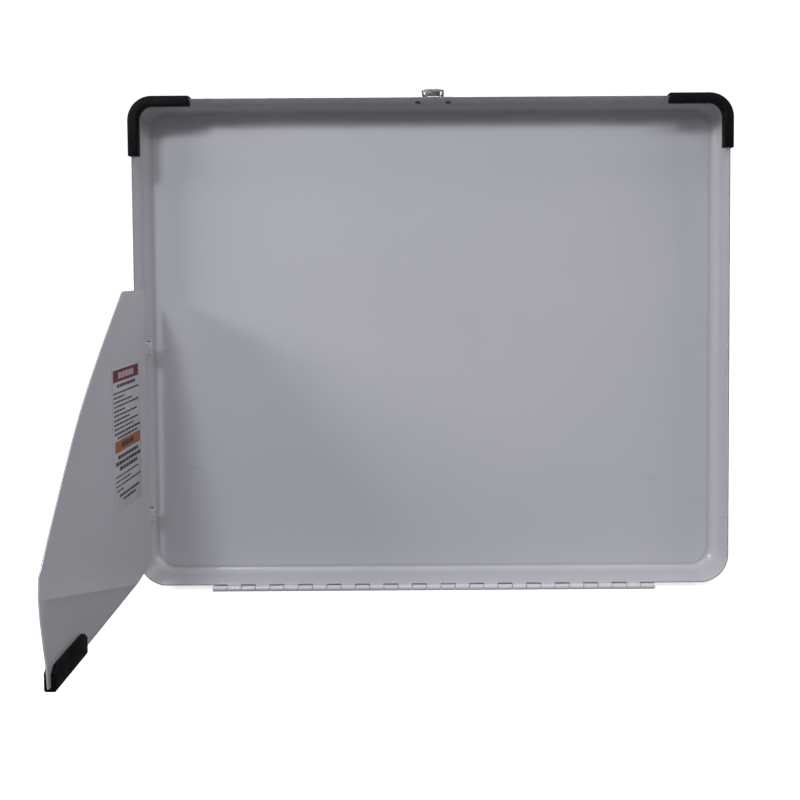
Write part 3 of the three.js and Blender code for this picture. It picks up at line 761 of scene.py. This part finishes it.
def wing_guard():
    """The channel moulding on the wing's lower front corner, open at its top and its ends."""
    low, high = box_mm("wing_guard")
    thick = (high.x - low.x) / 2
    middle = (high.x + low.x) / 2
    slot = SHEET / 2 + CLEAR
    tall, under, turn = WING_GUARD_TALL, WING_GUARD_UNDER, WING_GUARD_ROUND
    (rear_end, rear_height), (front_end, front_height) = WING_BOTTOM[1:3]
    section = [(thick, tall)] + arc((thick - turn, turn - under), turn, 0, -90, 6)
    section += arc((turn - thick, turn - under), turn, -90, -180, 6) + [(-thick, tall)]
    section += [(-slot, tall), (-slot, -CLEAR), (slot, -CLEAR), (slot, tall)]
    first, last = WING_AXIS.y - high.y, WING_AXIS.y - low.y
    loops = []
    for i in range(13):
        forward = first + (last - first) * i / 12
        slope = (rear_height - front_height) / (front_end - rear_end)
        base = front_height + slope * (front_end - forward)
        end = min(forward - first, last - forward)
        cheek = 1 - CHEEK_DROP * max(0.0, 1 - end / CHEEK_RUN) ** 2
        loop = []
        for out, up in section:
            height = up * cheek if up > under else up
            loop.append(Vector((middle + out, WING_AXIS.y - forward, base + height)))
        loops.append(loop)
    guard = bevel(loft("wing_guard_moulding", loops), 0.5, 3, 50)
    finish(guard, "wing", PLASTIC, ["wing_guard"])


# ---------- label ----------
LABEL_LOW, LABEL_HIGH = box_mm("wing_label")
INK = random.Random(7)
LINE_END = LABEL_HIGH.y - 4.6  # the text's rear margin
LINE_LENGTH = 56.0
LABEL_LEAN = 0.035  # the print leans back towards its lower end
RED_BAND = (196.5, 206.5)
ORANGE_BAND = (139.0, 148.5)
FILM_THICK = 0.14
INK_THICK = 0.03
SHORT_WORDS = (2.2, 6.5)
MIDDLE_WORDS = (2.5, 7)
HEAD_WORDS = (5, 9)
DARK_BLOCKS = [  # top, lengths of the lines, pitch, bar height, word lengths, centred
    (196.3, [0.72], 4.6, 2.8, (3.5, 7), True),
    (190.5, [1.0, 0.42, 0.7, 0.98, 0.42, 0.92, 0.62, 0.94, 0.76], 3.65, 1.5, SHORT_WORDS, False),
    (157.2, [1.0, 0.8], 3.7, 1.9, MIDDLE_WORDS, True),
    (138.2, [0.8, 0.98, 0.7], 4.9, 3.1, (3.5, 7.5), True),
    (122.6, [0.9, 0.58, 0.98, 0.3], 3.9, 1.4, SHORT_WORDS, False),
    (106.2, [0.78, 0.5], 4.2, 2.1, MIDDLE_WORDS, True),
]


def label_box(y_low, y_high, z_low, z_high, level):
    """A thin printed patch on the label; level counts the layers of ink."""
    face = LABEL_LOW.x + FILM_THICK + level * INK_THICK
    lean = LABEL_LEAN * (LABEL_HIGH.z - (z_low + z_high) / 2)
    y_low, y_high = y_low + lean, y_high + lean
    outline = [(y_low, z_low), (y_high, z_low), (y_high, z_high), (y_low, z_high)]
    return plate("patch", outline, "x", face, face + INK_THICK)


def bar_line(z, share, height, start, word):
    """One line of plain word-like bars, starting at its front end."""
    y = LINE_END - LINE_LENGTH + start * LINE_LENGTH
    stop = y + share * LINE_LENGTH
    made = []
    while y < stop - 1:
        length = min(INK.uniform(*word), stop - y)
        made.append(label_box(y, y + length, z, z + height, 1))
        y += length + 0.9
    return made


def bar_block(top, shares, pitch, height, word, centred):
    """Lines of bars below one another; each share is its line's length."""
    made = []
    for number, share in enumerate(shares):
        start = (1 - share) / 2 if centred else 0.0
        made += bar_line(top - (number + 1) * pitch, share, height, start, word)
    return made


def wing_label():
    outline = [(LABEL_LOW.y, LABEL_LOW.z), (LABEL_HIGH.y, LABEL_LOW.z),
               (LABEL_HIGH.y, LABEL_HIGH.z), (LABEL_LOW.y, LABEL_HIGH.z)]
    film = bevel(plate("label_film", outline, "x", LABEL_LOW.x, LABEL_LOW.x + FILM_THICK), 0.04, 2)
    finish(film, "wing", FILM, ["wing_label"])
    front = LINE_END - LINE_LENGTH
    red = label_box(front, LINE_END, *RED_BAND, 0)
    finish(bevel(red, 0.01, 1), "wing", RED_INK).name = "label_band_red"
    orange = label_box(front, LINE_END, *ORANGE_BAND, 0)
    finish(bevel(orange, 0.01, 1), "wing", ORANGE_INK).name = "label_band_orange"

    dark = []
    for block in DARK_BLOCKS:
        dark += bar_block(*block)
    dark += bar_line(ORANGE_BAND[0] + 2.7, 0.5, 4.4, 0.25, HEAD_WORDS)
    inks = dark[0]
    merge(inks, dark[1:])
    finish(inks, "wing", DARK_INK).name = "label_bars_dark"

    pale = bar_line(RED_BAND[0] + 2.5, 0.62, 5.0, 0.2, HEAD_WORDS)
    inks = pale[0]
    merge(inks, pale[1:])
    finish(inks, "wing", PALE_INK).name = "label_bars_pale"


# ---------- wing pivots ----------
def wing_pivot(name, height):
    """Bracket, pin and rivet of one of the wing's pivots."""
    low, high = box_mm(f"wing_bracket_{name}")
    outline = [(low.y, low.z), (high.y, low.z), (high.y, high.z), (low.y, high.z)]
    bracket = bevel(plate(f"wing_bracket_{name}_pressing", outline, "x", low.x, low.x + SHEET), 0.25, 2)
    tilt = math.degrees(math.atan2(high.y - 3 - WING_AXIS.y, low.x - WING_AXIS.x))
    ear = [(low.x, high.y - 6)]
    ear += arc((WING_AXIS.x, WING_AXIS.y), 2.55, tilt + 90 - 360, tilt - 90, 14)
    ear += [(low.x, high.y)]
    ears = [bevel(plate("ear", ear, "z", height + z, height + z + 1.2), 0.15, 2) for z in (-5.2, 4)]
    # Painted light: the bracket wears the lightened copy of the lid's enamel.
    finish(merge(bracket, ears), "lid", LIGHTENED_ENAMEL, [f"wing_bracket_{name}"])

    pin_low, pin_high = box_mm(f"wing_pin_{name}")
    top, foot = pin_high.z, pin_low.z
    profile = [(0.8, foot), (1.1, foot + 0.3), (1.1, top - 0.9)]
    profile += [(1.9, top - 0.9), (1.95, top - 0.5), (1.3, top)]
    pin = turned(f"wing_pin_{name}_shaft", profile, (WING_AXIS.x, WING_AXIS.y, 0), "z", 28)
    finish(pin, "lid", ZINC, [f"wing_pin_{name}"])

    rivet_low, rivet_high = box_mm(f"wing_rivet_{name}")
    centre = (0, PIVOT_HOLE_Y, height)
    rivet = domed_rivet(f"wing_rivet_{name}_domed", centre, "x", rivet_low.x, rivet_high.x)
    finish(rivet, "lid", ZINC, [f"wing_rivet_{name}"])


def domed_rivet(name, centre, axis, low, high, head=2.7, shank=1.6):
    """A rivet with a dome at its high end and a set tail at its low end."""
    dome = [(head * math.cos(a), high - 1.3 + 1.3 * math.sin(a)) for a in (0, 0.3, 0.6, 0.9, 1.2, 1.45)]
    tail = [(head - 0.9, low), (head - 0.4, low + 0.3), (head - 0.3, low + 0.9), (head - 0.4, low + 1.6),
            (shank, low + 1.8)]
    return turned(name, tail + [(shank, high - 1.3)] + dome, centre, axis, 36)


# ---------- draw latch ----------
LATCH_X = LEVER_AXIS.x
EAR_HALF = 2.6
WEB_LIFT = 3.2  # from the lever's pin up to the underside of its web
LEVER_ROUND = 1.85
LEVER_NOSE = [(-2, -2.6), (-1.25, -2.6), (-1.25, 2.2), (1, 3.2), (1, 4.2), (-0.5, 4.0), (-2, 2.6)]
BAIL_RADIUS = 0.9
BAIL_TURNED_IN = 4.8  # from the bail's side to the end of its wire


def half_width(node):
    """Half the width of one of the latch's pieces, which are symmetrical about LATCH_X."""
    return box_mm(node)[1].x - LATCH_X


def latch_plate():
    low, high = box_mm("latch_base_plate")
    corner = 2.5
    outline = []
    for sx, sy, start in ((1, -1, -90), (1, 1, 0), (-1, 1, 90), (-1, -1, 180)):
        x = LATCH_X + sx * (half_width("latch_base_plate") - corner)
        y = (high.y if sy > 0 else low.y) - sy * corner
        outline += arc((x, y), corner, start, start + 90, 8)
    base = bevel(plate("latch_plate", outline, "z", low.z, low.z + 1), 0.22, 2)
    top = low.z + 1
    ear = [(LEVER_AXIS.y - EAR_HALF, top - 0.3), (LEVER_AXIS.y + EAR_HALF, top - 0.3)]
    ear += arc((LEVER_AXIS.y, LEVER_AXIS.z), high.z - LEVER_AXIS.z, 0, 180, 18)
    inner = half_width("latch_lever") + CLEAR
    starts = (LATCH_X + inner, LATCH_X - inner - 1)
    ears = [bevel(plate("ear", ear, "x", x, x + 1), 0.2, 2) for x in starts]
    finish(merge(base, ears), "lid", NICKEL, ["latch_base_plate"])
    reach = half_width("latch_lever_pin")
    pin = round_bar("latch_pin", LEVER_AXIS, "x", -reach, reach, 1.0, 0.25, 28)
    finish(pin, "lid", NICKEL, ["latch_lever_pin"])


def latch_lever():
    """A channel, open downwards, with a wall across its front and a lifting lip at the back."""
    high = box_mm("latch_lever")[1]
    half = half_width("latch_lever")
    web_low = LEVER_AXIS.z + WEB_LIFT
    web_high = web_low + 1
    back = high.y - 3
    foot = LEVER_AXIS.z - LEVER_ROUND
    cheek = [(LEVER_AXIS.y + 0.4, web_high)]
    cheek += arc((LEVER_AXIS.y, LEVER_AXIS.z), LEVER_ROUND, 112, 270, 16)
    cheek += [(back - 6, foot), (back - 1, web_high)]
    web = [(LEVER_AXIS.y + 0.4, web_low), (back - 1.5, web_low), (back + 2.6, web_low + 0.8),
           (back + 3, high.z), (back - 1.8, web_high), (LEVER_AXIS.y + 0.4, web_high)]
    lever = plate("latch_lever_channel", web, "x", LATCH_X - half, LATCH_X + half)
    cheeks = [plate("cheek", cheek, "x", LATCH_X + x, LATCH_X + x + 1) for x in (-half, half - 1)]
    wall = [(LEVER_AXIS.y + u, LEVER_AXIS.z + v) for u, v in LEVER_NOSE]
    cheeks.append(plate("nose", wall, "x", LATCH_X - half, LATCH_X + half))
    combine(lever, cheeks, "UNION")
    bores = [round_bar("bore", LEVER_AXIS, "x", -20, 20, 1.2, 0.1, 28),
             round_bar("bore", BAIL_AXIS, "x", -20, 20, 1.1, 0.1, 28)]
    combine(lever, bores, "DIFFERENCE")
    bevel(lever, 0.22, 2, 40)
    finish(lever, "lever", NICKEL, ["latch_lever"])


def latch_bail():
    """The wire loop: in through one cheek, forward, across and back."""
    low = box_mm("latch_bail")[0]
    inner = half_width("latch_bail") - BAIL_TURNED_IN
    side = half_width("latch_bail") - BAIL_RADIUS
    front = low.y + BAIL_RADIUS
    bend = 3.0
    corner = 1.4
    path = [Vector((inner, BAIL_AXIS.y, 0))]
    path += [Vector((*p, 0)) for p in arc((side - corner, BAIL_AXIS.y - corner), corner, 90, 0, 8)]
    path += [Vector((*p, 0)) for p in arc((side - bend, front + bend), bend, 0, -90, 12)]
    path += [Vector((-p.x, p.y, 0)) for p in reversed(path)]
    loops = []
    for k, point in enumerate(path):
        ahead = path[min(k + 1, len(path) - 1)] - path[max(k - 1, 0)]
        across = ahead.normalized().cross(AXES["z"])
        loops.append([
            point + Vector((LATCH_X, 0, BAIL_AXIS.z)) + across * a + AXES["z"] * b
            for a, b in arc((0, 0), BAIL_RADIUS, 0, 345, 23)
        ])
    finish(bevel(loft("latch_bail_wire", loops), 0.2, 2, 60), "bail", NICKEL, ["latch_bail"])


def latch():
    latch_plate()
    latch_lever()
    latch_bail()
    for name in ("latch_rivet_left", "latch_rivet_right"):
        low, high = box_mm(name)
        centre = ((low.x + high.x) / 2, (low.y + high.y) / 2, 0)
        finish(domed_rivet(f"{name}_domed", centre, "z", low.z, high.z), "lid", ZINC, [name])


# ---------- build ----------
lid_shell()
corner_guard(-1, "corner_guard_left")
corner_guard(1, "corner_guard_right")
piano_hinge()
wing_panel()
wing_guard()
wing_label()
for pivot, pivot_height in PIVOTS.items():
    wing_pivot(pivot, pivot_height)
latch()


# ---------- studio ----------
FLOOR_LIFT = 0.78
FLOOR_BOUNCE = 0.3
COOL = (0.955, 0.98, 1.075)
WARM = (1.0, 0.985, 0.95)


def studio_floor():
    """A wide pale floor that curves up into a backdrop; the camera sees it whiter than it lights."""
    size, radius, wall_y, wall_height = 6000.0, 900.0, 2600.0, 5000.0
    side = [(-size, 0.0), (wall_y - radius, 0.0)]
    side += arc((wall_y - radius, radius), radius, -90, 0, 24) + [(wall_y, wall_height)]
    points = []
    for y, z in side:
        points += [(-size, y, z), (size, y, z)]
    faces = [(2 * i, 2 * i + 1, 2 * i + 3, 2 * i + 2) for i in range(len(side) - 1)]
    floor = new_object("studio_floor", points, faces)
    floor.data.shade_smooth()
    paper = Finish("studio_paper", 0.9, specular=0.1)
    paper.colour(paper.ramp(paper.noise(1.5, 2), [(0.3, (0.9, 0.9, 0.9)), (0.7, (0.92, 0.92, 0.92))]))
    glow = paper.tree.nodes.new("ShaderNodeEmission")
    glow.inputs["Strength"].default_value = FLOOR_LIFT
    add = paper.tree.nodes.new("ShaderNodeAddShader")
    seen = paper.tree.nodes.new("ShaderNodeMixShader")
    bounce = paper.tree.nodes.new("ShaderNodeBsdfDiffuse")
    bounce.inputs["Color"].default_value = (*[FLOOR_BOUNCE] * 3, 1)
    path = paper.tree.nodes.new("ShaderNodeLightPath")
    output = paper.tree.nodes["Material Output"]
    paper.tree.links.new(paper.shader.outputs["BSDF"], add.inputs[0])
    paper.tree.links.new(glow.outputs["Emission"], add.inputs[1])
    paper.tree.links.new(path.outputs["Is Camera Ray"], seen.inputs["Fac"])
    paper.tree.links.new(bounce.outputs["BSDF"], seen.inputs[1])
    paper.tree.links.new(add.outputs["Shader"], seen.inputs[2])
    paper.tree.links.new(seen.outputs["Shader"], output.inputs["Surface"])
    floor.data.materials.append(paper.material)


def area_light(name, place, size, energy, colour):
    """A soft rectangular light at a place, in metres, that looks at the lid's middle."""
    data = bpy.data.lights.new(name, "AREA")
    data.shape = "RECTANGLE"
    data.size, data.size_y = size
    data.energy = energy
    data.color = colour
    light = bpy.data.objects.new(name, data)
    light.location = place
    toward = light.location - LID_MIDDLE * MM
    light.rotation_euler = toward.to_track_quat("Z", "Y").to_euler()
    bpy.context.scene.collection.objects.link(light)


def world_light(strength):
    """Faint even light from all round; the camera itself sees it as white."""
    world = bpy.data.worlds.new("studio_air")
    world.use_nodes = True
    tree = world.node_tree
    background = tree.nodes["Background"]
    background.inputs["Color"].default_value = (0.96, 0.98, 1.0, 1)
    background.inputs["Strength"].default_value = strength
    seen = tree.nodes.new("ShaderNodeBackground")
    seen.inputs["Color"].default_value = (1, 1, 1, 1)
    path = tree.nodes.new("ShaderNodeLightPath")
    mix = tree.nodes.new("ShaderNodeMixShader")
    output = tree.nodes["World Output"]
    tree.links.new(path.outputs["Is Camera Ray"], mix.inputs["Fac"])
    tree.links.new(background.outputs["Background"], mix.inputs[1])
    tree.links.new(seen.outputs["Background"], mix.inputs[2])
    tree.links.new(mix.outputs["Shader"], output.inputs["Surface"])
    bpy.context.scene.world = world


studio_floor()
area_light("key", (-0.59, -1.38, 1.21), (0.24, 0.24), 6.0, COOL)
area_light("fill", (0.1, -2.4, 2.0), (3.0, 0.26), 20.4, COOL)
area_light("left", (-1.9, -0.9, 1.02), (1.2, 0.3), 17, WARM)
area_light("right", (1.9, -0.9, 1.02), (1.2, 0.3), 9, WARM)
area_light("top", (0.0, -0.7, 2.4), (2.4, 0.6), 10, WARM)
area_light("rear", (0.2, 2.3, 2.0), (2.4, 0.8), 16, WARM)
world_light(0.03)


# ---------- camera ----------
CAMERA_PLACE = (0.0096, -0.760, 0.292)  # metres
CAMERA_PITCH = 2.03
CAMERA_ROLL = 0.37
CAMERA_LENS = 38.25
CAMERA_SHIFT = (-0.0534, -0.1346)


def camera():
    """In front of the lid, a little above its middle, tipped down by two degrees."""
    pitch, roll = math.radians(CAMERA_PITCH), math.radians(CAMERA_ROLL)
    forward = Vector((0, math.cos(pitch), -math.sin(pitch)))
    level_up = Vector((0, math.sin(pitch), math.cos(pitch)))
    right = AXES["x"] * math.cos(roll) - level_up * math.sin(roll)
    up = AXES["x"] * math.sin(roll) + level_up * math.cos(roll)
    data = bpy.data.cameras.new("camera")
    data.sensor_width = 36
    data.lens = CAMERA_LENS
    data.shift_x, data.shift_y = CAMERA_SHIFT
    view = bpy.data.objects.new("camera", data)
    turn = Matrix((right, up, -forward)).transposed().to_4x4()
    view.matrix_world = Matrix.Translation(CAMERA_PLACE) @ turn
    bpy.context.scene.collection.objects.link(view)
    bpy.context.scene.camera = view


camera()
bpy.context.scene.view_settings.view_transform = "Standard"
